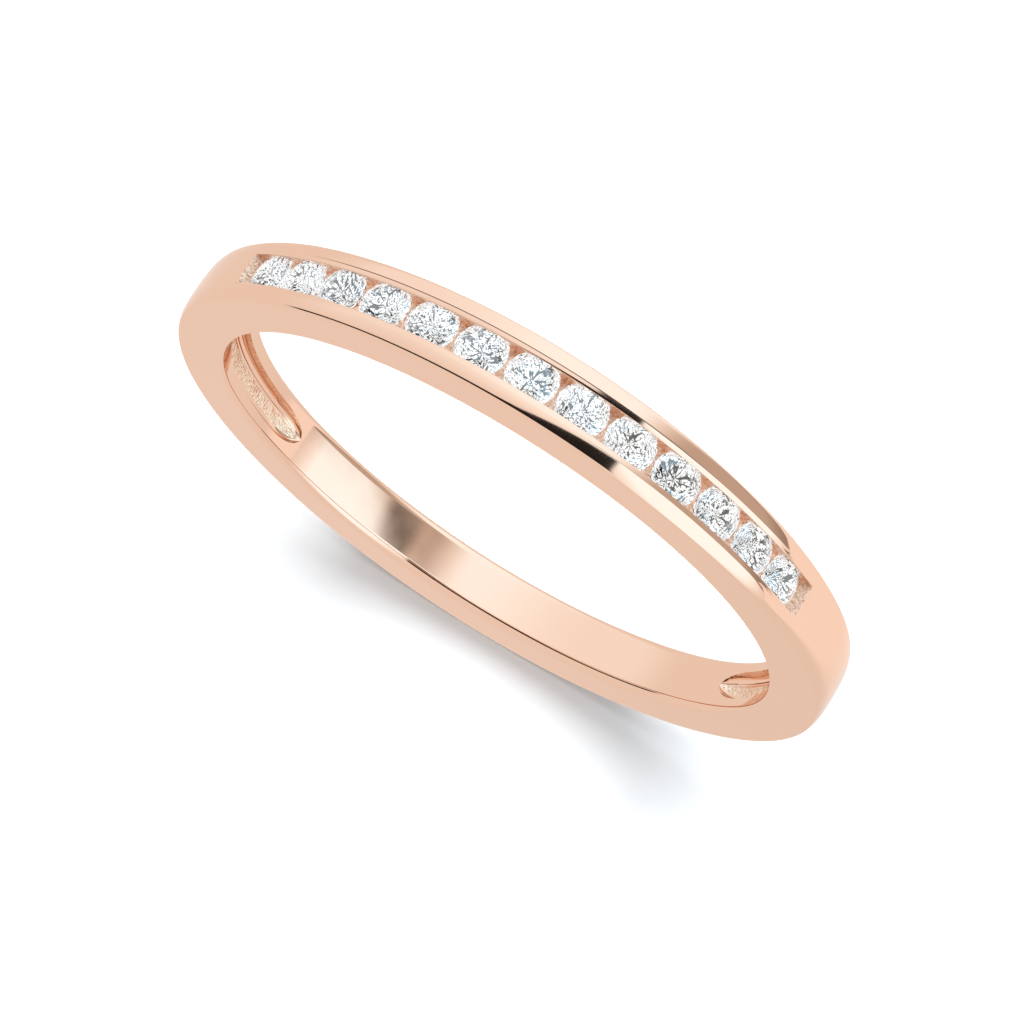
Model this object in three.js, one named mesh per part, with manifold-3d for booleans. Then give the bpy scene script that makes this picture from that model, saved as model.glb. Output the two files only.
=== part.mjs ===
// Wedding band: one rose-gold casting with a straight channel across its top,
// and thirteen round brilliants held in that channel between two rails.
// Millimetres. The finger bore runs along Y, the stones are on top (+Z),
// and the origin is the centre of the bore. Angles are measured from the top.

import * as THREE from "three";
import { mergeVertices } from "three/addons/utils/BufferGeometryUtils.js";
import Module from "manifold-3d";

const wasm = await Module();
wasm.setup();

// --- Driving dimensions -----------------------------------------------------

const BORE_RADIUS = 8.675; // finger size 7

const STONE_COUNT = 13;
const STONE_DIAMETER = 1.39;
const STONE_GAP = 0.045; // between neighbouring girdles
const TABLE_RATIO = 0.56; // the proportions of the cut, each of the diameter
const CROWN_RATIO = 0.135;
const GIRDLE_RATIO = 0.03;
const PAVILION_RATIO = 0.43;
const STAR_REACH = 0.5; // how far star facets reach from table to girdle
const LOWER_HALF_START = 0.22; // of the radius, where lower girdle facets begin
const SEAT_CLEARANCE = 0.012;

const LIP_OVERLAP = 0.225; // how far each rail reaches over a stone's edge
const LIP_THICKNESS = 0.05; // metal over the crown at the channel's edge
const RAIL_WIDTH = 0.545; // from the channel's edge to the side face
const RIDGE_SHARE = 0.25; // of the rail's width, where its ridge runs
const RIDGE_RISE = 0.012; // the ridge above the channel's edge
const FACET_DROP = 0.045; // the outer facet's fall from the ridge to the side
const FACET_SHORTFALL = 1.9; // degrees from the facets' ends to the end stones' centres
const FACET_FADE = 6; // degrees, over which each facet runs out

const RECESS_DEPTH = 0.35;
const RECESS_START = -128.7; // degrees; the hollow ends lower on this side
const RECESS_END = 121.3;
const RECESS_LAND = 0.4; // plain bore left along each edge
const RECESS_FLOOR_SHARE = 0.5; // of its width, where its sloping walls meet the floor
const RECESS_RAMP = 12; // degrees, over which the hollow fades out
const CULET_COVER = 0.23; // from the hollow's floor to the stones' points
const LIGHT_HOLE_RADIUS = 0.3;

const CHANNEL_MARGIN = 0.9; // degrees of channel beyond the end stones
const CHANNEL_END_SLOPE = 1.4; // degrees, by which the floor is shorter
const CHANNEL_FLOOR_DROP = 0.24; // floor below the girdles

const BASE_WIDTH = 1.7; // of the band, opposite the stones
const WIDTH_FADE = 2.8; // how early the width falls away from the top
const SHOULDER_BEFORE = 18; // degrees before the facets' ends, where the crown rises
const SHOULDER_AFTER = 32; // degrees beyond them, where it levels out
const FLANK_RISE = 0.165; // the crown's rise from the rails to halfway round
const BASE_RISE = 0.31; // and from there to the side opposite the stones
const SOFT_BEFORE = 7; // degrees before the facets' ends, where corners soften
const SOFT_AFTER = 12; // degrees beyond them, where they are fully round
const SOFT_CORNER_WIDTH = 0.5; // rounding of the shank's outer corners, across the band
const SOFT_CORNER_DEPTH = 0.09; // and along the radius
const CRISP_CORNER_WIDTH = 0.11; // the same, on the rails
const CRISP_CORNER_DEPTH = 0.05;
const CROWN_FALL = 0.05; // fall of the low dome from its middle to its corners
const BORE_EDGE = 0.22; // rounding of the bore's edges, opposite the stones
const SHARP_EDGE = 0.02; // the same, at the top
const ROUND_FROM = 90; // degrees, where the bore's edges begin to round
const ROUND_TO = 153;
const CUT_OVERLAP = 0.2; // by which a cutter reaches past the surface it opens

const RING_STEPS = 120;
const BAR_STEPS = 44;
const EDGE_STEPS = 3;
const CORNER_STEPS = 4;
const FACET_STEPS = 2;
const SEAT_SIDES = 24;
const HOLE_SIDES = 16;

// --- Sizes that follow from them --------------------------------------------

const degrees = Math.PI / 180;
const stoneRadius = STONE_DIAMETER / 2;
const tableRadius = TABLE_RATIO * stoneRadius;
const halfGirdle = (GIRDLE_RATIO * STONE_DIAMETER) / 2;
const crownHeight = CROWN_RATIO * STONE_DIAMETER + halfGirdle;
const pavilionDepth = PAVILION_RATIO * STONE_DIAMETER + halfGirdle;
const crownSlope = (crownHeight - halfGirdle) / (stoneRadius - tableRadius);
const pavilionSlope = (pavilionDepth - halfGirdle) / stoneRadius;
const eighthTurn = Math.cos(Math.PI / 8);
const starRadius =
  tableRadius * eighthTurn + STAR_REACH * (stoneRadius - tableRadius * eighthTurn);
const starHeight = crownHeight - (starRadius * eighthTurn - tableRadius) * crownSlope;

const recessFloor = BORE_RADIUS + RECESS_DEPTH;
const girdleLevel = recessFloor + CULET_COVER + pavilionDepth; // radius at the girdles
const stonePitch = 2 * Math.asin((stoneRadius + STONE_GAP / 2) / girdleLevel);
const lastStone = ((STONE_COUNT - 1) / 2) * stonePitch;
const stoneReach = Math.asin(stoneRadius / girdleLevel);

const openingHalf = stoneRadius - LIP_OVERLAP;
const crownAtOpening = halfGirdle + LIP_OVERLAP * crownSlope;
const channelTop = girdleLevel + crownAtOpening + LIP_THICKNESS - BORE_RADIUS;
const ridgeTop = channelTop + RIDGE_RISE;
const shoulderTop = ridgeTop + FLANK_RISE;
const channelHalf = lastStone + stoneReach + CHANNEL_MARGIN * degrees;
const facetHalf = lastStone - FACET_SHORTFALL * degrees;
const ridgePlace = openingHalf + RIDGE_SHARE * RAIL_WIDTH;
const topHalfWidth = openingHalf + RAIL_WIDTH;

// --- Solids -----------------------------------------------------------------

// A three.js geometry as a manifold solid.
function solid(geometry) {
  const bare = geometry.clone();
  bare.deleteAttribute("normal");
  bare.deleteAttribute("uv");
  const merged = mergeVertices(bare, 1e-5);
  return new wasm.Manifold(
    new wasm.Mesh({
      numProp: 3,
      vertProperties: merged.attributes.position.array,
      triVerts: new Uint32Array(merged.index.array),
    }),
  );
}

// A manifold solid as a named mesh with its own material.
function namedMesh(name, shape, look) {
  const made = shape.getMesh();
  const geometry = new THREE.BufferGeometry();
  geometry.setAttribute("position", new THREE.BufferAttribute(made.vertProperties, 3));
  geometry.setIndex(new THREE.BufferAttribute(made.triVerts, 1));
  geometry.computeVertexNormals();
  const mesh = new THREE.Mesh(geometry, new THREE.MeshStandardMaterial(look));
  mesh.name = name;
  return mesh;
}

// The point at an angle from the top, a radius from the bore's axis and a place along it.
function around(angle, radius, along) {
  return [radius * Math.sin(angle), along, radius * Math.cos(angle)];
}

// A solid through rings of points. Every ring has the same number of points, in
// the same order. A closed one joins its last ring to its first; an open one is
// capped at both ends.
function skin(rings, closed) {
  const count = rings[0].length;
  const points = rings.flat();
  const faces = [];
  const spans = closed ? rings.length : rings.length - 1;
  for (let i = 0; i < spans; i += 1) {
    const here = i * count;
    const next = ((i + 1) % rings.length) * count;
    for (let j = 0; j < count; j += 1) {
      const k = (j + 1) % count;
      faces.push(here + j, next + j, next + k);
      faces.push(here + j, next + k, here + k);
    }
  }
  if (!closed) {
    const last = (rings.length - 1) * count;
    for (let j = 1; j < count - 1; j += 1) {
      faces.push(0, j, j + 1);
      faces.push(last, last + j + 1, last + j);
    }
  }
  const geometry = new THREE.BufferGeometry();
  geometry.setAttribute("position", new THREE.Float32BufferAttribute(points.flat(), 3));
  geometry.setIndex(faces);
  return solid(geometry);
}

// 0 below the start, 1 above the end, and smooth between.
function ease(value, start, end) {
  const share = Math.min(Math.max((value - start) / (end - start), 0), 1);
  return share * share * (3 - 2 * share);
}

// --- The band ---------------------------------------------------------------

function halfWidth(angle) {
  const nearTop = (1 + Math.cos(angle)) / 2;
  const base = BASE_WIDTH / 2;
  return base + (topHalfWidth - base) * nearTop ** WIDTH_FADE;
}

// The crown's height above the bore: lowest at the rails, thickest at the base.
function crownHeightAt(angle) {
  const turn = Math.abs(angle);
  const start = facetHalf - SHOULDER_BEFORE * degrees;
  const end = facetHalf + SHOULDER_AFTER * degrees;
  return ridgeTop + FLANK_RISE * ease(turn, start, end) + BASE_RISE * ease(turn, end, Math.PI);
}

// How far the outer corner is rounded, across the band and along the radius.
function cornerSize(angle) {
  const start = facetHalf - SOFT_BEFORE * degrees;
  const end = facetHalf + SOFT_AFTER * degrees;
  const soft = ease(Math.abs(angle), start, end);
  return {
    width: CRISP_CORNER_WIDTH + (SOFT_CORNER_WIDTH - CRISP_CORNER_WIDTH) * soft,
    depth: CRISP_CORNER_DEPTH + (SOFT_CORNER_DEPTH - CRISP_CORNER_DEPTH) * soft,
  };
}

// The outside's height above the bore: an inner strip up to the ridge and an outer
// facet on each rail, a low dome elsewhere, and rounded corners.
function outsideHeight(angle, along, half) {
  const turn = Math.abs(angle);
  const fade = FACET_FADE * degrees;
  const cut = (1 - ease(turn, facetHalf - fade, facetHalf + fade / 2)) ** 0.5;
  const place = Math.abs(along);
  const outer = Math.max((place - ridgePlace) / (half - ridgePlace), 0);
  const inner = Math.min(Math.max((ridgePlace - place) / (ridgePlace - openingHalf), 0), 1);
  const facet = FACET_DROP * outer + RIDGE_RISE * inner;
  const dome = CROWN_FALL * (place / half) ** 2;
  const { width, depth } = cornerSize(angle);
  const past = Math.min(Math.max(place - half + width, 0) / width, 1);
  const corner = depth * (1 - Math.sqrt(1 - past * past));
  return crownHeightAt(angle) - facet * cut - dome * (1 - cut) - corner;
}

// The front half of the outside, from the side face to the channel's edge.
function outsidePoints(angle, half) {
  const ridge = Math.min(ridgePlace, half - CRISP_CORNER_WIDTH - SHARP_EDGE);
  const width = Math.min(cornerSize(angle).width, half - ridge - SHARP_EDGE);
  const places = [];
  for (let i = 0; i <= CORNER_STEPS; i += 1) {
    const swing = ((i / CORNER_STEPS) * Math.PI) / 2;
    places.push(-half + width * (1 - Math.cos(swing)));
  }
  for (let i = 1; i <= FACET_STEPS; i += 1) {
    const share = i / FACET_STEPS;
    places.push((-half + width) * (1 - share) - ridge * share);
  }
  places.push(-openingHalf, -openingHalf / 2);
  return places.map((along) => [along, outsideHeight(angle, along, half)]);
}

function bandSection(angle) {
  const half = halfWidth(angle);
  const roundness = ease(Math.abs(angle) / degrees, ROUND_FROM, ROUND_TO);
  const edge = SHARP_EDGE + (BORE_EDGE - SHARP_EDGE) * roundness;
  const front = [];
  for (let i = 0; i <= EDGE_STEPS; i += 1) {
    const swing = ((i / EDGE_STEPS) * Math.PI) / 2;
    front.push([-(half - edge) - edge * Math.sin(swing), edge - edge * Math.cos(swing)]);
  }
  front.push(...outsidePoints(angle, half));
  const back = front.map(([along, height]) => [-along, height]).reverse();
  const middle = [0, outsideHeight(angle, 0, half)];
  const section = [...front, middle, ...back];
  return section.map(([along, height]) => around(angle, BORE_RADIUS + height, along));
}

function blank() {
  const rings = [];
  for (let i = 0; i < RING_STEPS; i += 1) {
    rings.push(bandSection(((i / RING_STEPS) * 2 - 1) * Math.PI));
  }
  return skin(rings, true);
}

// A bar of four-cornered section, bent round the ring between two angles.
function bentBar(start, end, sectionAt) {
  const rings = [];
  for (let i = 0; i <= BAR_STEPS; i += 1) {
    const angle = start + ((end - start) * i) / BAR_STEPS;
    const { inner, outer, innerHalf, outerHalf } = sectionAt(angle);
    rings.push([
      around(angle, inner, -innerHalf),
      around(angle, outer, -outerHalf),
      around(angle, outer, outerHalf),
      around(angle, inner, innerHalf),
    ]);
  }
  return skin(rings, false);
}

// The straight channel, with square corners and slightly sloping ends.
function channelCutter() {
  const floor = girdleLevel - CHANNEL_FLOOR_DROP;
  const top = BORE_RADIUS + shoulderTop;
  const lean = (CHANNEL_END_SLOPE * degrees) / (top - floor);
  const rings = [];
  for (let i = 0; i <= BAR_STEPS; i += 1) {
    const share = (2 * i) / BAR_STEPS - 1;
    const low = (channelHalf - CHANNEL_END_SLOPE * degrees) * share;
    const high = (channelHalf + lean * CUT_OVERLAP) * share;
    rings.push([
      around(low, floor, -openingHalf),
      around(high, top + CUT_OVERLAP, -openingHalf),
      around(high, top + CUT_OVERLAP, openingHalf),
      around(low, floor, openingHalf),
    ]);
  }
  return skin(rings, false);
}

// The hollow inside the bore: flat floor, sloping walls, plain lands and rounded ends.
function recessCutter() {
  const start = RECESS_START * degrees;
  const end = RECESS_END * degrees;
  const ramp = RECESS_RAMP * degrees;
  return bentBar(start, end, (angle) => {
    const fromEnd = Math.min(angle - start, end - angle) / ramp;
    const share = Math.min(Math.max(fromEnd, 0.02), 1);
    const bow = Math.sqrt(1 - (1 - share) ** 2);
    const half = (halfWidth(angle) - RECESS_LAND) * bow;
    const depth = RECESS_DEPTH * bow;
    const flare = (1 - RECESS_FLOOR_SHARE) * half * (CUT_OVERLAP / depth);
    return {
      inner: BORE_RADIUS - CUT_OVERLAP,
      outer: BORE_RADIUS + depth,
      innerHalf: half + Math.min(flare, RECESS_LAND / 2),
      outerHalf: half * RECESS_FLOOR_SHARE,
    };
  });
}

// Places a shape made around the Z axis on the ring, its z = 0 at the given radius.
function placed(shape, angle, radius) {
  const [x, y, z] = around(angle, radius, 0);
  return shape.rotate([0, angle / degrees, 0]).translate([x, y, z]);
}

// The seat of one stone, turned to the stone's outline and a little larger.
function seatCutter() {
  const grown = stoneRadius + SEAT_CLEARANCE;
  const level = halfGirdle + SEAT_CLEARANCE / 2;
  const profile = [
    new THREE.Vector2(0, -pavilionDepth - 2 * SEAT_CLEARANCE),
    new THREE.Vector2(grown, -level),
    new THREE.Vector2(grown, level),
    new THREE.Vector2(starRadius + SEAT_CLEARANCE, starHeight + SEAT_CLEARANCE),
    new THREE.Vector2(tableRadius, crownHeight + SEAT_CLEARANCE),
    new THREE.Vector2(0, crownHeight + SEAT_CLEARANCE),
  ];
  const lathe = new THREE.LatheGeometry(profile, SEAT_SIDES);
  lathe.rotateX(Math.PI / 2);
  return solid(lathe);
}

// The hole that lets light in behind one stone.
function lightHoleCutter() {
  const low = recessFloor - CUT_OVERLAP - girdleLevel;
  const high = -pavilionDepth + LIGHT_HOLE_RADIUS * pavilionSlope;
  const geometry = new THREE.CylinderGeometry(
    LIGHT_HOLE_RADIUS,
    LIGHT_HOLE_RADIUS,
    high - low,
    HOLE_SIDES,
  );
  geometry.rotateX(Math.PI / 2);
  geometry.translate(0, 0, (high + low) / 2);
  return solid(geometry);
}

// --- One brilliant ----------------------------------------------------------

// A round brilliant about the Z axis with its girdle at z = 0: table, stars,
// kites and upper girdle facets above; lower girdle facets and mains below.
function brilliant() {
  const points = [];
  const faces = [];
  const add = (radius, eighth, height) => {
    const angle = (eighth * Math.PI) / 4;
    points.push(radius * Math.cos(angle), radius * Math.sin(angle), height);
    return points.length / 3 - 1;
  };
  const lowerRadius = LOWER_HALF_START * stoneRadius;
  const lowerHeight = -pavilionDepth + lowerRadius * eighthTurn * pavilionSlope;
  const table = [];
  const star = [];
  const upper = [];
  const lower = [];
  const deep = [];
  for (let i = 0; i < 8; i += 1) {
    table.push(add(tableRadius, i, crownHeight));
    star.push(add(starRadius, i + 0.5, starHeight));
    deep.push(add(lowerRadius, i + 0.5, lowerHeight));
  }
  for (let i = 0; i < 16; i += 1) {
    upper.push(add(stoneRadius, i / 2, halfGirdle));
    lower.push(add(stoneRadius, i / 2, -halfGirdle));
  }
  const culet = add(0, 0, -pavilionDepth);
  for (let i = 0; i < 8; i += 1) {
    const j = (i + 1) % 8;
    const before = (i + 7) % 8;
    const main = 2 * i;
    const between = 2 * i + 1;
    const after = (2 * i + 2) % 16;
    if (i > 0 && i < 7) {
      faces.push(table[0], table[i], table[j]);
    }
    faces.push(table[i], star[i], table[j]);
    faces.push(table[i], star[before], upper[main]);
    faces.push(table[i], upper[main], star[i]);
    faces.push(star[i], upper[main], upper[between]);
    faces.push(star[i], upper[between], upper[after]);
    faces.push(deep[i], lower[between], lower[main]);
    faces.push(deep[i], lower[after], lower[between]);
    faces.push(culet, lower[main], deep[before]);
    faces.push(culet, deep[i], lower[main]);
  }
  for (let i = 0; i < 16; i += 1) {
    const j = (i + 1) % 16;
    faces.push(lower[i], lower[j], upper[j]);
    faces.push(lower[i], upper[j], upper[i]);
  }
  const geometry = new THREE.BufferGeometry();
  geometry.setAttribute("position", new THREE.Float32BufferAttribute(points, 3));
  geometry.setIndex(faces);
  return solid(geometry);
}

// --- Assembly ---------------------------------------------------------------

const group = new THREE.Group();
group.name = "wedding_band";

const stone = brilliant();
const seat = seatCutter();
const hole = lightHoleCutter();
let band = blank().subtract(channelCutter()).subtract(recessCutter());
for (let i = 0; i < STONE_COUNT; i += 1) {
  const angle = (i - (STONE_COUNT - 1) / 2) * stonePitch;
  band = band.subtract(placed(seat, angle, girdleLevel));
  band = band.subtract(placed(hole, angle, girdleLevel));
  const name = "diamond_" + String(i + 1).padStart(2, "0");
  const look = { color: 0xf4f6fa, roughness: 0.02, metalness: 0 };
  group.add(namedMesh(name, placed(stone, angle, girdleLevel), look));
}
group.add(namedMesh("band", band, { color: 0xe6b08c, roughness: 0.12, metalness: 1 }));

export default group;
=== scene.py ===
"""A rose-gold wedding band with thirteen round brilliants in a straight channel, standing on a
white table. Lengths are in millimetres until they reach a mesh, and angles are measured from the
top of the ring."""

import math

import bmesh
import bpy
from mathutils import Matrix, Vector


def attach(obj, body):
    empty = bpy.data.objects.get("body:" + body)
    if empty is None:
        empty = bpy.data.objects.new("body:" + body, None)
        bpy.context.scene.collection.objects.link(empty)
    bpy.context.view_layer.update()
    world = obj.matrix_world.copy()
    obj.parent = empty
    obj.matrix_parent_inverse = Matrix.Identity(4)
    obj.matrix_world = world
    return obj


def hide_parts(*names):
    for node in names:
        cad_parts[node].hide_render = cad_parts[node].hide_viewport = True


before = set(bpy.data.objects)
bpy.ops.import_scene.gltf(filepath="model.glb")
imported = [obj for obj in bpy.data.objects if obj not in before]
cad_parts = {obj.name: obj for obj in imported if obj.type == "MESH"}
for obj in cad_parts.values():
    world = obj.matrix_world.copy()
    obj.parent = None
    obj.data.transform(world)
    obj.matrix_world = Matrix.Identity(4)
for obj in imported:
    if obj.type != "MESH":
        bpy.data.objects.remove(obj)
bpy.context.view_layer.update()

MM = 0.001
DEGREE = math.pi / 180

# --- Sizes of the ring ---------------------------------------------------------

BORE_RADIUS = 8.675

STONE_COUNT = 13
STONE_RADIUS = 0.695
STONE_GAP = 0.045
TABLE_RADIUS = 0.56 * STONE_RADIUS
HALF_GIRDLE = 0.015 * 2 * STONE_RADIUS
CROWN_HEIGHT = 0.135 * 2 * STONE_RADIUS + HALF_GIRDLE
PAVILION_DEPTH = 0.43 * 2 * STONE_RADIUS + HALF_GIRDLE
CROWN_SLOPE = (CROWN_HEIGHT - HALF_GIRDLE) / (STONE_RADIUS - TABLE_RADIUS)
PAVILION_SLOPE = (PAVILION_DEPTH - HALF_GIRDLE) / STONE_RADIUS
SEAT_CLEARANCE = 0.012
EIGHTH_TURN = math.cos(math.pi / 8)
STAR_RADIUS = (TABLE_RADIUS * EIGHTH_TURN + STONE_RADIUS) / 2
STAR_HEIGHT = CROWN_HEIGHT - (STAR_RADIUS * EIGHTH_TURN - TABLE_RADIUS) * CROWN_SLOPE

RECESS_DEPTH = 0.35
RECESS_START = -128.7 * DEGREE
RECESS_END = 121.3 * DEGREE
RECESS_RAMP = 8 * DEGREE
RECESS_LAND = 0.4
RECESS_FLOOR_SHARE = 0.5
CULET_COVER = 0.23
LIGHT_HOLE_RADIUS = 0.3
DRILL_START = 0.2  # below the hollow's floor
RECESS_FLOOR = BORE_RADIUS + RECESS_DEPTH
GIRDLE_LEVEL = RECESS_FLOOR + CULET_COVER + PAVILION_DEPTH
STONE_PITCH = 2 * math.asin((STONE_RADIUS + STONE_GAP / 2) / GIRDLE_LEVEL)
LAST_STONE = (STONE_COUNT - 1) / 2 * STONE_PITCH

LIP_OVERLAP = 0.225
LIP_THICKNESS = 0.05
OPENING_HALF = STONE_RADIUS - LIP_OVERLAP
CHANNEL_TOP = (
    GIRDLE_LEVEL + HALF_GIRDLE + LIP_OVERLAP * CROWN_SLOPE + LIP_THICKNESS - BORE_RADIUS
)
LIP_ROUNDING = 0.012
RIDGE_TOP = CHANNEL_TOP + LIP_ROUNDING
RAIL_WIDTH = 0.545
RIDGE_PLACE = OPENING_HALF + 0.25 * RAIL_WIDTH
FACET_DROP = 0.045
FACET_HALF = LAST_STONE - 1.9 * DEGREE
FACET_FADE = 6 * DEGREE
FACET_BOW = 2.5 * DEGREE  # how much sooner a facet runs out at its edges
TOP_HALF_WIDTH = OPENING_HALF + RAIL_WIDTH
FACET_MIDDLE = 0.78
FACET_REACH = 0.2
BASE_HALF_WIDTH = 0.85
WIDTH_FADE = 2.8

CHANNEL_HALF = LAST_STONE + math.asin(STONE_RADIUS / GIRDLE_LEVEL) + 0.9 * DEGREE
CHANNEL_END_LEAN = 1.4 * DEGREE
CHANNEL_END_REACH = 3 * DEGREE
FLOOR_BELOW_GIRDLE = 0.24
CHANNEL_FLOOR = GIRDLE_LEVEL - FLOOR_BELOW_GIRDLE

FLANK_RISE = 0.165
FLANK_START = FACET_HALF - 18 * DEGREE
FLANK_END = FACET_HALF + 32 * DEGREE
BASE_RISE = 0.31
CROWN_FALL = 0.05
SOFT_CORNER = (0.5, 0.09)  # across the band and along the radius
CRISP_CORNER = (0.11, 0.05)
BORE_EDGE = 0.22
BORE_EDGE_START = 76 * DEGREE
BORE_EDGE_FULL = 135 * DEGREE
SHARP_EDGE = 0.02


def ease(value, start, end):
    """0 below the start, 1 above the end, smooth between."""
    share = min(max((value - start) / (end - start), 0.0), 1.0)
    return share * share * (3 - 2 * share)


def mix(a, b, share):
    return a + (b - a) * share


def around(angle, radius, along):
    """A point of the ring, in metres."""
    return Vector((radius * math.sin(angle), along, radius * math.cos(angle))) * MM


def add_piece(name, data):
    piece = bpy.data.objects.new(name, data)
    bpy.context.scene.collection.objects.link(piece)
    return piece


# --- Camera --------------------------------------------------------------------


def add_camera():
    data = bpy.data.cameras.new("camera")
    data.sensor_width = 36.0
    data.lens = 105.47
    data.clip_start = 0.002
    data.clip_end = 10.0
    camera = add_piece("camera", data)
    right = Vector((0.851212, 0.521438, 0.059603))
    up = Vector((-0.513474, 0.803915, 0.300109))
    turn = Matrix((right, up, right.cross(up))).transposed().to_4x4()
    place = Vector((9.1105, -23.5728, 77.8842)) * MM
    camera.matrix_world = Matrix.Translation(place) @ turn
    bpy.context.scene.camera = camera


add_camera()

# --- The band's shape ----------------------------------------------------------


def half_width(angle):
    near_top = (1 + math.cos(angle)) / 2
    return mix(BASE_HALF_WIDTH, TOP_HALF_WIDTH, near_top**WIDTH_FADE)


def crown_height(angle):
    """Height of the crown above the bore: lowest at the rails, thickest at the base."""
    turn = abs(angle)
    flank = RIDGE_TOP + FLANK_RISE * ease(turn, FLANK_START, FLANK_END)
    return flank + BASE_RISE * ease(turn, FLANK_END, math.pi)


def outside_height(angle, along, half):
    """Height of the outside above the bore: a narrow inner strip and a slightly full outer facet
    on each rail, a low dome elsewhere, and rounded corners."""
    place = abs(along)
    across, deep = corner_size(angle)
    past = min(max(place - half + across, 0.0) / across, 1.0)
    corner = deep * (1 - math.sqrt(1 - past * past))
    run_out = FACET_HALF - FACET_BOW * ((place - FACET_MIDDLE) / FACET_REACH) ** 2
    cut = 1 - ease(abs(angle), run_out - FACET_FADE * 0.6, run_out + FACET_FADE * 0.3)
    outer = min(max((place - RIDGE_PLACE) / (half - RIDGE_PLACE), 0.0), 1.0)
    inner = min(max((RIDGE_PLACE - place) / (RIDGE_PLACE - OPENING_HALF), 0.0), 1.0)
    facet = FACET_DROP * (0.45 * outer + 0.55 * outer**2) + (RIDGE_TOP - CHANNEL_TOP) * inner
    dome = CROWN_FALL * (place / half) ** 2
    return crown_height(angle) - mix(dome, facet, math.sqrt(cut)) - corner


def corner_size(angle):
    """How far the outer corner is rounded, across the band and along the radius."""
    soft = ease(abs(angle), FACET_HALF - 7 * DEGREE, FACET_HALF + 12 * DEGREE)
    return (
        mix(CRISP_CORNER[0], SOFT_CORNER[0], soft),
        mix(CRISP_CORNER[1], SOFT_CORNER[1], soft),
    )


def seat_radius(height):
    """The radius of a stone's seat at a height above its girdle, or 0 outside it."""
    grown = STONE_RADIUS + SEAT_CLEARANCE
    level = HALF_GIRDLE + SEAT_CLEARANCE / 2
    star = STAR_HEIGHT + SEAT_CLEARANCE
    top = CROWN_HEIGHT + SEAT_CLEARANCE
    bottom = -PAVILION_DEPTH - 2 * SEAT_CLEARANCE
    if height > top or height < bottom:
        return 0.0
    if height > star:
        return mix(STAR_RADIUS + SEAT_CLEARANCE, TABLE_RADIUS, (height - star) / (top - star))
    if height > level:
        return mix(grown, STAR_RADIUS + SEAT_CLEARANCE, (height - level) / (star - level))
    if height < -level:
        return mix(grown, 0.0, (-level - height) / (-level - bottom))
    return grown


def nearest_stone(angle):
    """The angle from the nearest stone's centre."""
    half = (STONE_COUNT - 1) / 2
    index = min(max(round(angle / STONE_PITCH), -half), half)
    return angle - index * STONE_PITCH


def wall_place(angle, radius):
    """How far the channel's wall stands from its middle, notched by the seats."""
    offset = nearest_stone(angle)
    height = radius * math.cos(offset) - GIRDLE_LEVEL
    reach = seat_radius(height) ** 2 - (radius * math.sin(offset)) ** 2
    return max(OPENING_HALF, math.sqrt(reach)) if reach > 0 else OPENING_HALF


FLOOR_STEPS, FLOOR_STEP = 24, 0.02


def floor_level(angle, along):
    """The channel's floor, sunk where a stone's seat passes through it."""
    offset = nearest_stone(angle)
    low = CHANNEL_FLOOR
    for _ in range(FLOOR_STEPS):
        reach = seat_radius(low * math.cos(offset) - GIRDLE_LEVEL)
        if reach <= math.hypot(low * math.sin(offset), along):
            break
        low -= FLOOR_STEP
    return low


WALL_STEPS = 12
FLOOR_SHARES = (1.0, 0.8, 0.6, 0.4, 0.2, 0.0)
CAST_SHARES = (0.0, 0.4, 0.8)  # of the hollow's flat floor
RECESS_STEPS = 7
RECESS_POINTS = len(CAST_SHARES) + RECESS_STEPS + 1  # from the hollow's middle to its lip
LEAST_RECESS = 0.04
CHANNEL_STEP = 0.45 * DEGREE
SHANK_STEP = 0.9 * DEGREE
CREASE = 38 * DEGREE


def bore_points(angle, half, edge):
    """From the middle of the bore to the start of its front edge, with the hollow where it runs."""
    from_end = min(angle - RECESS_START, RECESS_END - angle) / RECESS_RAMP
    share = min(max(from_end, 0.0), 1.0)
    bow = math.sqrt(max(1 - (1 - share) ** 2, 0.0))
    reach = max((half - RECESS_LAND) * bow, LEAST_RECESS)
    depth = RECESS_DEPTH * bow
    floor = reach * RECESS_FLOOR_SHARE
    points = [(-part * floor, BORE_RADIUS + depth) for part in CAST_SHARES]
    for i in range(RECESS_STEPS + 1):
        swing = i / RECESS_STEPS * math.pi / 2
        across = mix(floor, reach, math.sin(swing))
        points.append((-across, BORE_RADIUS + depth * math.cos(swing)))
    land_end = half - edge
    for part in (0.03, 0.12, 0.5, 0.92):
        points.append((-mix(reach, land_end, part), BORE_RADIUS))
    return points


def outside_points(angle, half, depth):
    """From the top of the side face over the corner and the rail to the channel's edge, which is
    rounded at depth 1."""
    ridge = min(RIDGE_PLACE, half - 0.14)
    across = min(corner_size(angle)[0], half - ridge - SHARP_EDGE)
    found = []
    for i in range(12):
        swing = i / 11 * math.pi / 2
        along = -half + across * (1 - math.cos(swing))
        found.append((along, BORE_RADIUS + outside_height(angle, along, half)))
    for part in (0.1, 0.25, 0.4, 0.55, 0.7, 0.85, 0.95, 1.0, 1.06, 1.3, 1.6, 2.0):
        if part <= 1:
            along = -mix(half - across, ridge, part)
        else:
            along = -mix(ridge, OPENING_HALF + LIP_ROUNDING, part - 1)
        found.append((along, BORE_RADIUS + outside_height(angle, along, half)))
    top = found[-1][1]
    for i in (1, 2, 3):
        swing = i / 3 * math.pi / 2
        drop = depth * LIP_ROUNDING * (1 - math.cos(swing))
        found.append((-OPENING_HALF - LIP_ROUNDING * (1 - math.sin(swing)), top - drop))
    return found


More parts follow.
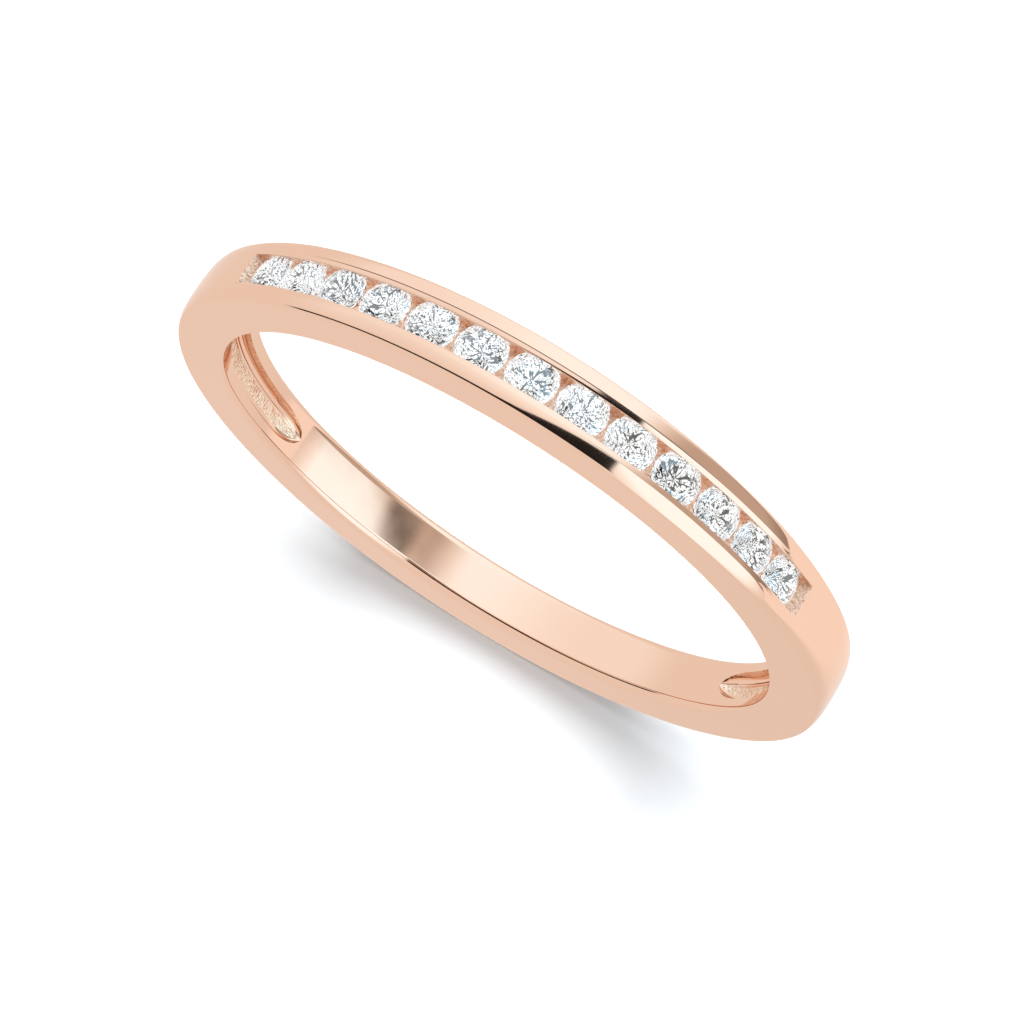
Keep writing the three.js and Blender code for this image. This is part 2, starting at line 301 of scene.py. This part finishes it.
def channel_points(angle, half, depth, start):
    """The channel's wall and floor at depth 1, or the plain crown at depth 0."""
    found = []
    for i in range(1, WALL_STEPS + 1):
        part = i / WALL_STEPS
        if depth:
            radius = mix(start, CHANNEL_FLOOR, part)
            found.append((-wall_place(angle, radius), radius))
        else:
            along = -OPENING_HALF * (1 - 0.4 * part)
            found.append((along, BORE_RADIUS + outside_height(angle, along, half)))
    for part in FLOOR_SHARES:
        if depth:
            along = -OPENING_HALF * part
            found.append((along, floor_level(angle, along)))
        else:
            along = -OPENING_HALF * 0.58 * part
            found.append((along, BORE_RADIUS + outside_height(angle, along, half)))
    return found


def front_section(angle, depth):
    """The front half of the section: bore, edge, side face, outside, then channel or crown."""
    half = half_width(angle)
    edge = mix(SHARP_EDGE, BORE_EDGE, ease(abs(angle), BORE_EDGE_START, BORE_EDGE_FULL))
    side = bore_points(angle, half, edge)
    for i in range(9):
        swing = i / 8 * math.pi / 2
        side.append(
            (-(half - edge) - edge * math.sin(swing), BORE_RADIUS + edge * (1 - math.cos(swing)))
        )
    outside = outside_points(angle, half, depth)
    low = BORE_RADIUS + edge
    for part in (0.06, 0.5, 0.94):
        side.append((-half, mix(low, outside[0][1], part)))
    channel = channel_points(angle, half, depth, outside[-1][1])
    return side, outside, channel


def column_angles():
    """The angle of each column of the band, with 1 where it lies in the channel and else 0."""
    inside = round(2 * CHANNEL_HALF / CHANNEL_STEP)
    columns = [(mix(-CHANNEL_HALF, CHANNEL_HALF, i / inside), 1) for i in range(inside + 1)]
    rest = 2 * math.pi - 2 * CHANNEL_HALF
    outside = round(rest / SHANK_STEP)
    for i in range(outside + 1):
        angle = CHANNEL_HALF + rest * i / outside
        columns.append((angle - 2 * math.pi if angle > math.pi else angle, 0))
    return columns


POLISHED, CAST, CHANNEL = 0, 1, 2


def band_mesh():
    """One section spun into a ring, then each column moved to the shape it has at its angle."""
    columns = column_angles()
    mesh = bmesh.new()
    place = mesh.verts.layers.int.new("place")
    side, outside, channel = front_section(0.0, 1)
    lean_from = len(side) + len(outside)
    front_count = lean_from + len(channel)
    size = 2 * front_count - 2
    half_wide, half_high, middle = 0.8, 0.7, 9.5  # of the plain loop that is spun
    loop = []
    for i in range(size):
        turn = 2 * math.pi * i / size
        along, radius = -half_wide * math.sin(turn), middle - half_high * math.cos(turn)
        vertex = mesh.verts.new(Vector((0, along, radius)) * MM)
        vertex[place] = i
        loop.append(vertex)
    edges = [mesh.edges.new((loop[i], loop[(i + 1) % size])) for i in range(size)]
    bmesh.ops.spin(
        mesh,
        geom=loop + edges,
        cent=(0, 0, 0),
        axis=(0, 1, 0),
        dvec=(0, 0, 0),
        angle=2 * math.pi,
        steps=len(columns),
        use_merge=True,
        use_normal_flip=False,
        use_duplicate=False,
    )
    fronts = []
    for angle, depth in columns:
        side, outside, channel = front_section(angle, depth)
        fronts.append(side + outside + channel)
    where = {}
    for vertex in mesh.verts:
        swept = math.atan2(vertex.co.x, vertex.co.z) % (2 * math.pi)
        step = round(swept / (2 * math.pi) * len(columns)) % len(columns)
        angle, depth = columns[step]
        i = vertex[place]
        front = i if i < front_count else size - i
        along, radius = fronts[step][front]
        if i >= front_count:
            along = -along
        if depth and front >= lean_from:
            near_end = ease(abs(angle), CHANNEL_HALF - CHANNEL_END_REACH, CHANNEL_HALF)
            crown = BORE_RADIUS + crown_height(angle)
            below = (crown - radius) / (crown - CHANNEL_FLOOR)
            angle -= math.copysign(CHANNEL_END_LEAN * below * near_end, angle)
        vertex.co = around(angle, radius, along)
        where[vertex] = (step, front)
    for face in mesh.faces:
        steps = [where[v][0] for v in face.verts]
        fronts_here = [where[v][1] for v in face.verts]
        angle = columns[min(steps)][0]
        in_channel = all(columns[s][1] for s in steps)
        at_end = any(columns[s][1] for s in steps) and not in_channel
        face.smooth = True
        if min(fronts_here) >= lean_from - 1 and (in_channel or at_end):
            face.material_index = CHANNEL
        elif max(fronts_here) < RECESS_POINTS and RECESS_START < angle < RECESS_END:
            face.material_index = CAST if max(fronts_here) < len(CAST_SHARES) else POLISHED
    bmesh.ops.remove_doubles(mesh, verts=mesh.verts, dist=1e-8)
    bmesh.ops.recalc_face_normals(mesh, faces=mesh.faces)
    for edge in mesh.edges:
        if len(edge.link_faces) == 2 and edge.calc_face_angle() > CREASE:
            edge.smooth = False
    data = bpy.data.meshes.new("polished_band")
    mesh.to_mesh(data)
    mesh.free()
    return data


# --- The stones ----------------------------------------------------------------

CROWN_FACES, PAVILION_FACES = 0, 1
DEEP_SHARE = 0.22  # of the radius, where the lower girdle facets end
EDGE_BEVEL = 0.003
FACET_TURN = 137.5  # degrees from one stone to the next
FACET_REPEAT = 45


def brilliant_mesh(name, turn):
    """A round brilliant with its girdle at z = 0: table, stars, kites, upper girdle facets,
    lower girdle facets and mains, each a single flat face."""
    mesh = bmesh.new()

    def ring(radius, count, start, height):
        made = bmesh.ops.create_circle(mesh, cap_ends=False, segments=count, radius=radius * MM)
        shift = Matrix.Translation((0, 0, height * MM))
        spin = Matrix.Rotation(start * 2 * math.pi / count, 4, "Z")
        bmesh.ops.transform(mesh, matrix=shift @ spin, verts=made["verts"])
        ordered = sorted(
            made["verts"],
            key=lambda v: (math.atan2(v.co.y, v.co.x) - start * math.pi / count + 1e-6)
            % (2 * math.pi),
        )
        return ordered

    deep_radius = DEEP_SHARE * STONE_RADIUS
    deep_height = -PAVILION_DEPTH + deep_radius * EIGHTH_TURN * PAVILION_SLOPE
    table = ring(TABLE_RADIUS, 8, 0, CROWN_HEIGHT)
    star = ring(STAR_RADIUS, 8, 0.5, STAR_HEIGHT)
    upper = ring(STONE_RADIUS, 16, 0, HALF_GIRDLE)
    lower = ring(STONE_RADIUS, 16, 0, -HALF_GIRDLE)
    deep = ring(deep_radius, 8, 0.5, deep_height)
    culet = mesh.verts.new((0, 0, -PAVILION_DEPTH * MM))
    mesh.faces.new(table)
    for i in range(8):
        j, before = (i + 1) % 8, (i + 7) % 8
        main, between, after = 2 * i, 2 * i + 1, (2 * i + 2) % 16
        mesh.faces.new((table[i], star[i], table[j]))
        mesh.faces.new((table[i], star[before], upper[main], star[i]))
        mesh.faces.new((star[i], upper[main], upper[between]))
        mesh.faces.new((star[i], upper[between], upper[after]))
        for corners in (
            (deep[i], lower[between], lower[main]),
            (deep[i], lower[after], lower[between]),
            (culet, deep[i], lower[main], deep[before]),
        ):
            mesh.faces.new(corners).material_index = PAVILION_FACES
    for i in range(16):
        j = (i + 1) % 16
        mesh.faces.new((lower[i], lower[j], upper[j], upper[i]))
    wires = [edge for edge in mesh.edges if not edge.link_faces]
    bmesh.ops.delete(mesh, geom=wires, context="EDGES")
    crown_edges = [
        edge
        for edge in mesh.edges
        if all(face.material_index == CROWN_FACES for face in edge.link_faces)
    ]
    bmesh.ops.bevel(
        mesh,
        geom=crown_edges,
        offset=EDGE_BEVEL * MM,
        offset_type="OFFSET",
        segments=1,
        profile=0.5,
        affect="EDGES",
        material=-1,
    )
    bmesh.ops.rotate(mesh, verts=mesh.verts, cent=(0, 0, 0), matrix=Matrix.Rotation(turn, 3, "Z"))
    bmesh.ops.recalc_face_normals(mesh, faces=mesh.faces)
    data = bpy.data.meshes.new(name)
    mesh.to_mesh(data)
    mesh.free()
    return data


# --- Shader sums ---------------------------------------------------------------


class Amount:
    """A number that a node tree works out, for use in sums."""

    def __init__(self, nodes, socket):
        self.nodes = nodes
        self.socket = socket

    def __add__(self, other):
        return self.nodes.math("ADD", self, other)

    __radd__ = __add__

    def __sub__(self, other):
        return self.nodes.math("SUBTRACT", self, other)

    def __rsub__(self, other):
        return self.nodes.math("SUBTRACT", other, self)

    def __mul__(self, other):
        return self.nodes.math("MULTIPLY", self, other)

    __rmul__ = __mul__

    def __truediv__(self, other):
        return self.nodes.math("DIVIDE", self, other)


class Nodes:
    """The node tree of a material or world."""

    def __init__(self, owner):
        owner.use_nodes = True
        self.tree = owner.node_tree

    def make(self, kind, settings=None, inputs=None):
        node = self.tree.nodes.new(kind)
        for name, value in (settings or {}).items():
            setattr(node, name, value)
        for name, value in (inputs or {}).items():
            self.put(node.inputs[name], value)
        return node

    def put(self, socket, value):
        if isinstance(value, Amount):
            self.tree.links.new(value.socket, socket)
        elif isinstance(value, bpy.types.NodeSocket):
            self.tree.links.new(value, socket)
        else:
            socket.default_value = value

    def math(self, operation, *values):
        node = self.make("ShaderNodeMath", {"operation": operation}, dict(enumerate(values)))
        return Amount(self, node.outputs[0])

    def parts(self, vector):
        node = self.make("ShaderNodeSeparateXYZ", None, {0: vector})
        return [Amount(self, node.outputs[i]) for i in range(3)]

    def smooth(self, value, start, end):
        """0 at the start, 1 at the end, smooth between."""
        node = self.make(
            "ShaderNodeMapRange",
            {"interpolation_type": "SMOOTHSTEP"},
            {"Value": value, "From Min": start, "From Max": end},
        )
        return Amount(self, node.outputs[0])

    def noise(self, place, scale, detail=2.0, rough=0.5):
        node = self.make(
            "ShaderNodeTexNoise",
            None,
            {"Vector": place, "Scale": scale, "Detail": detail, "Roughness": rough},
        )
        return Amount(self, node.outputs["Fac"])

    def cells(self, place, scale):
        node = self.make("ShaderNodeTexVoronoi", None, {"Vector": place, "Scale": scale})
        return Amount(self, node.outputs["Distance"])

    def mix_colour(self, share, first, second):
        node = self.make(
            "ShaderNodeMix",
            {"data_type": "RGBA"},
            {0: share, 6: self.colour(first), 7: self.colour(second)},
        )
        return node.outputs[2]

    @staticmethod
    def colour(value):
        return (*value, 1) if isinstance(value, tuple) else value

    def stretched(self, place, sizes):
        node = self.make("ShaderNodeMapping", None, {"Vector": place, "Scale": sizes})
        return node.outputs[0]

    def bump(self, height, strength, distance):
        sizes = {"Height": height, "Strength": strength, "Distance": distance}
        return self.make("ShaderNodeBump", None, sizes).outputs[0]


def new_material(name):
    material = bpy.data.materials.new(name)
    nodes = Nodes(material)
    shader = nodes.tree.nodes["Principled BSDF"]
    place = nodes.make("ShaderNodeTexCoord").outputs["Object"]
    return material, nodes, shader, place


# --- Materials -----------------------------------------------------------------

ROSE_GOLD = (0.835, 0.553, 0.41)
ROSE_GOLD_DEEP = (0.82, 0.535, 0.395)
CAST_GOLD = (0.9, 0.62, 0.47)
CAST_PALE = (1.0, 0.82, 0.64)
GRAZING_TINT = (0.95, 0.86, 0.8, 1)
# Colour of a dark line painted along the back rail's ridge, standing in for a reflection.
PAINTED_RIDGE_REFLECTION = (0.09, 0.04, 0.02)
PIT_GOLD = (0.72, 0.42, 0.29)
CHANNEL_GOLD = (0.97, 0.7, 0.54)
# Colours and strength of the painted sparkle that glows in the stones' back facets.
PAINTED_FLASH, PAINTED_HALF_FLASH, PAINTED_DARK_FLASH = (1.0, 1.0, 1.0), (0.66, 0.68, 0.68), (0.01, 0.013, 0.014)
PAINTED_FLASH_STRENGTH = 1.2
DIAMOND_IOR = 2.417
# Strength of the table's painted glow, which only reflections see.
PAINTED_TABLE_GLOW = 1.2


def polished_gold():
    """Mirror-polished rose gold: faint polishing waves, hairlines, a little uneven colour and a
    painted dark reflection along the back rail's ridge.
    """
    material, nodes, shader, place = new_material("rose_gold_polished")
    x, y, z = nodes.parts(place)
    patches = nodes.noise(place, 260.0, 2.0)
    shade = nodes.mix_colour(patches, ROSE_GOLD, ROSE_GOLD_DEEP)
    turn = nodes.math("ARCTAN2", x, z) / DEGREE
    from_line = nodes.math("ABSOLUTE", y / MM - (RIDGE_PLACE + 0.005))
    radius = nodes.math("SQRT", x * x + z * z) / MM
    # Painted reflection: a dark, slightly rougher line along the back rail's ridge, from about -44
    # to 34 degrees.
    painted_ridge_mask = (
        (1 - nodes.smooth(from_line, 0.004, 0.018))
        * nodes.smooth(radius, BORE_RADIUS + 1.2, BORE_RADIUS + 1.3)
        * nodes.smooth(turn, -44.0, -30.0)
        * (1 - nodes.smooth(turn, 20.0, 34.0))
    )
    nodes.put(shader.inputs["Base Color"], nodes.mix_colour(painted_ridge_mask, shade, PAINTED_RIDGE_REFLECTION))
    wear = nodes.noise(place, 1400.0, 3.0)
    nodes.put(shader.inputs["Roughness"], 0.035 + 0.05 * wear + 0.2 * painted_ridge_mask)
    shader.inputs["Metallic"].default_value = 1.0
    shader.inputs["Specular Tint"].default_value = GRAZING_TINT
    waves = nodes.noise(place, 420.0, 1.0)
    hairs = nodes.noise(nodes.stretched(place, (900.0, 9000.0, 900.0)), 1.0, 2.0)
    nodes.put(shader.inputs["Normal"], nodes.bump(waves + 0.02 * hairs, 0.06, 0.02 * MM))
    return material


def cast_gold():
    """The bare casting in the hollow: fine bright grains on a satin skin."""
    material, nodes, shader, place = new_material("rose_gold_cast")
    grains = nodes.cells(place, 9000.0)
    clouds = nodes.noise(place, 1800.0, 4.0)
    sparkle = nodes.smooth(clouds + 0.6 * grains, 0.55, 0.95)
    nodes.put(shader.inputs["Base Color"], nodes.mix_colour(sparkle, CAST_GOLD, CAST_PALE))
    nodes.put(shader.inputs["Roughness"], 0.24 + 0.2 * clouds)
    shader.inputs["Metallic"].default_value = 1.0
    shader.inputs["Specular Tint"].default_value = GRAZING_TINT
    grit = nodes.noise(place, 14000.0, 3.0)
    nodes.put(shader.inputs["Normal"], nodes.bump(grains + grit, 0.8, 0.03 * MM))
    return material


def channel_gold():
    """The channel's walls and floor, cut and left dull, darker in the pits."""
    material, nodes, shader, place = new_material("rose_gold_channel")
    pits = nodes.noise(place, 16000.0, 3.0)
    dull = nodes.smooth(pits, 0.35, 0.62)
    nodes.put(shader.inputs["Base Color"], nodes.mix_colour(dull, PIT_GOLD, CHANNEL_GOLD))
    nodes.put(shader.inputs["Roughness"], 0.28 + 0.25 * pits)
    shader.inputs["Metallic"].default_value = 1.0
    nodes.put(shader.inputs["Normal"], nodes.bump(pits, 0.7, 0.03 * MM))
    return material


def diamond_crown():
    material, nodes, shader, place = new_material("diamond_crown")
    haze = nodes.noise(place, 3000.0, 2.0)
    nodes.put(
        shader.inputs["Base Color"], nodes.mix_colour(haze, (1.0, 1.0, 1.0), (0.97, 0.985, 1.0))
    )
    shader.inputs["Roughness"].default_value = 0.0
    shader.inputs["IOR"].default_value = DIAMOND_IOR
    shader.inputs["Transmission Weight"].default_value = 1.0
    return material


def diamond_pavilion():
    """The back facets: mostly a glow of painted sparkle, white with grey patches, dark flecks and
    dark spokes near the middle, over a little mirror. The glow stands in for the light that the
    facets throw back out of the crown.
    """
    material, nodes, shader, place = new_material("diamond_pavilion")
    tint = nodes.noise(place, 3000.0, 2.0)
    nodes.put(
        shader.inputs["Base Color"], nodes.mix_colour(tint, (0.98, 0.98, 1.0), (0.93, 0.94, 0.96))
    )
    shader.inputs["Roughness"].default_value = 0.0
    shader.inputs["Metallic"].default_value = 1.0
    x, y, z = nodes.parts(place)
    turn = nodes.math("ARCTAN2", x, z) / STONE_PITCH
    nearest = nodes.math("ROUND", turn)
    across = (turn - nearest) * (STONE_PITCH * GIRDLE_LEVEL)
    along = y / MM
    reach = nodes.math("SQRT", across * across + along * along) / STONE_RADIUS
    spoke = nodes.math("ARCTAN2", along, across)
    rays = nodes.make(
        "ShaderNodeCombineXYZ", None, {0: 3.4 * spoke, 1: 3.2 * reach, 2: 7.3 * nearest}
    )
    wedges = nodes.cells(rays.outputs[0], 1.0)
    marks = nodes.smooth(wedges, 0.6, 0.63) * (1 - nodes.smooth(reach, 0.5, 0.75))
    fine = 1 - nodes.smooth(nodes.noise(place, 19000.0, 1.0), 0.405, 0.415)
    half_tone = 1 - nodes.smooth(nodes.noise(place, 12000.0, 1.0), 0.4, 0.42)
    pale = nodes.mix_colour(half_tone, PAINTED_FLASH, PAINTED_HALF_FLASH)
    dark = nodes.math("MAXIMUM", marks, fine)
    painted_sparkle = nodes.mix_colour(dark, pale, PAINTED_DARK_FLASH)
    # The sparkle is painted and glows; only a little mirror shows under it.
    painted_glow = nodes.make("ShaderNodeEmission", None, {"Color": painted_sparkle, "Strength": PAINTED_FLASH_STRENGTH})
    both = nodes.make(
        "ShaderNodeMixShader", None, {0: 0.95, 1: shader.outputs[0], 2: painted_glow.outputs[0]}
    )
    nodes.put(nodes.tree.nodes["Material Output"].inputs[0], both.outputs[0])
    return material


def table_top():
    """A matt white table; in the metal's reflections it glows instead, painted a little dimmer
    towards the right and brighter further right and behind, with no shadow of the ring.
    """
    material, nodes, shader, place = new_material("white_table")
    x, y, _ = nodes.parts(place)
    grain = nodes.noise(place, 900.0, 3.0)
    white = nodes.mix_colour(grain, (0.77, 0.775, 0.78), (0.79, 0.795, 0.8))
    nodes.put(shader.inputs["Base Color"], white)
    shader.inputs["Roughness"].default_value = 0.7
    nodes.put(shader.inputs["Normal"], nodes.bump(grain, 0.05, 0.01 * MM))
    # Painted light in reflections: the table glows, a little dimmer towards the right and brighter
    # further right and behind.
    painted_dimming = nodes.smooth(x, 0.0, 9.0 * MM)
    painted_brightening = nodes.smooth(x, 8.0 * MM, 16.0 * MM) * nodes.smooth(y, 1.0 * MM, 6.0 * MM)
    share = (1.0 - 0.05 * painted_dimming + 0.2 * painted_brightening) / PAINTED_TABLE_GLOW
    lit = nodes.mix_colour(share, (0.0, 0.0, 0.0), (1.0, 1.0, 1.0))
    painted_glow = nodes.make("ShaderNodeEmission", None, {"Color": lit, "Strength": PAINTED_TABLE_GLOW})
    path = nodes.make("ShaderNodeLightPath").outputs["Is Glossy Ray"]
    mixed = nodes.make(
        "ShaderNodeMixShader", None, {0: path, 1: shader.outputs[0], 2: painted_glow.outputs[0]}
    )
    nodes.put(nodes.tree.nodes["Material Output"].inputs[0], mixed.outputs[0])
    return material


# --- Putting it together -------------------------------------------------------


def drill_light_holes(piece):
    """Opens the round hole behind each stone, from the hollow up to the stone's seat."""
    drills = bmesh.new()
    low = RECESS_FLOOR - DRILL_START
    high = GIRDLE_LEVEL - PAVILION_DEPTH + LIGHT_HOLE_RADIUS * PAVILION_SLOPE
    for i in range(STONE_COUNT):
        angle = (i - (STONE_COUNT - 1) / 2) * STONE_PITCH
        place = Matrix.Translation(around(angle, (low + high) / 2, 0))
        bmesh.ops.create_cone(
            drills,
            cap_ends=True,
            segments=32,
            radius1=LIGHT_HOLE_RADIUS * MM,
            radius2=LIGHT_HOLE_RADIUS * MM,
            depth=(high - low) * MM,
            matrix=place @ Matrix.Rotation(angle, 4, "Y"),
        )
    data = bpy.data.meshes.new("drills")
    drills.to_mesh(data)
    drills.free()
    drill = add_piece("drills", data)
    cut = piece.modifiers.new("light_holes", "BOOLEAN")
    cut.object = drill
    cut.solver = "EXACT"
    made = bpy.data.meshes.new_from_object(
        piece.evaluated_get(bpy.context.evaluated_depsgraph_get())
    )
    piece.modifiers.clear()
    piece.data = made
    bpy.data.objects.remove(drill)


band = add_piece("polished_band", band_mesh())
for finish in (polished_gold(), cast_gold(), channel_gold()):
    band.data.materials.append(finish)
drill_light_holes(band)
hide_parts("band")
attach(band, "root")

diamond_looks = (diamond_crown(), diamond_pavilion())
for i in range(STONE_COUNT):
    name = f"brilliant_{i + 1:02d}"
    angle = (i - (STONE_COUNT - 1) / 2) * STONE_PITCH
    data = brilliant_mesh(name, (i * FACET_TURN % FACET_REPEAT) * DEGREE)
    data.transform(
        Matrix.Translation(around(angle, GIRDLE_LEVEL, 0)) @ Matrix.Rotation(angle, 4, "Y")
    )
    for look in diamond_looks:
        data.materials.append(look)
    piece = add_piece(name, data)
    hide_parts(f"diamond_{i + 1:02d}")
    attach(piece, "root")

# --- Table and light -----------------------------------------------------------

TABLE_SIZE = 0.6
TENT_STRENGTH = 1.8

table_mesh = bmesh.new()
bmesh.ops.create_grid(table_mesh, x_segments=1, y_segments=1, size=TABLE_SIZE)
table_data = bpy.data.meshes.new("table")
table_mesh.to_mesh(table_data)
table_mesh.free()
table_data.materials.append(table_top())
table = add_piece("table", table_data)
table.location = (0, 0, -(BORE_RADIUS + crown_height(math.pi)) * MM)


def studio():
    """A white tent, brighter behind and to the right, with a dark opening on the near side and
    a dark-edged grey panel behind on the right. Dull surfaces get less of its light."""
    world = bpy.data.worlds.new("studio")
    nodes = Nodes(world)
    x, y, z = nodes.parts(nodes.make("ShaderNodeTexCoord").outputs["Generated"])
    behind = (0.4 + 0.6 * nodes.smooth(x, -0.75, 0.0)) * nodes.smooth(y, -0.02, 0.32)
    bright = (0.8 * behind + 1.0 * nodes.smooth(x, 0.3, 0.7)) * nodes.smooth(z, -0.05, 0.35)
    bright = nodes.math("MINIMUM", bright, 1.0)
    edge = 0.25 + 0.027 * nodes.smooth(x, 0.44, 0.9)
    start = x - 0.24 * nodes.smooth(y, 0.3, 0.46)
    panel = nodes.smooth(y - edge, -0.006, 0.004) * nodes.smooth(start, 0.08, 0.4)
    from_edge = nodes.math("ABSOLUTE", y - edge - 0.006)
    border = (1 - nodes.smooth(from_edge, 0.004, 0.016)) * nodes.smooth(x, 0.42, 0.52)
    border = border * (1 - nodes.smooth(x, 0.62, 0.72))
    lip = 0.055 + 0.16 * x + 0.085 * nodes.smooth(x, -0.35, 0.3)
    opening = (
        nodes.smooth(lip - y, -0.006, 0.008)
        * (1 - nodes.smooth(-1 * y, 0.3, 0.34))
        * (1 - nodes.smooth(x, 0.43, 0.46))
        * nodes.smooth(z, -0.02, 0.12)
    )
    level = (1.0 + 0.72 * bright) * (1 - 0.63 * panel) * (1 - 0.75 * border)
    spread = nodes.make("ShaderNodeLightPath").outputs["Is Diffuse Ray"]
    level = level * (1 - 0.4 * Amount(nodes, spread))
    background = nodes.tree.nodes["Background"]
    tint = nodes.mix_colour(bright, (1.0, 1.0, 1.0), (0.75, 1.0, 1.17))
    shade = nodes.math("MAXIMUM", panel, border)
    share = level * (1 - 0.98 * opening) / TENT_STRENGTH
    lit = nodes.mix_colour(shade, tint, (1.0, 0.93, 0.86))
    nodes.put(background.inputs["Color"], nodes.mix_colour(share, (0.0, 0.0, 0.0), lit))
    background.inputs["Strength"].default_value = TENT_STRENGTH
    bpy.context.scene.world = world


studio()


def add_softbox(name, place, size, power):
    """A round soft light aimed at the ring, too diffuse to show in the polished metal."""
    data = bpy.data.lights.new(name, "AREA")
    data.shape = "DISK"
    data.size = size
    data.energy = power
    lamp = add_piece(name, data)
    lamp.location = place
    lamp.rotation_euler = (-Vector(place)).to_track_quat("-Z", "Y").to_euler()
    lamp.visible_glossy = False


add_softbox("key", (-0.085, 0.15, 0.4), 0.55, 4.1)

bpy.context.scene.view_settings.view_transform = "Standard"
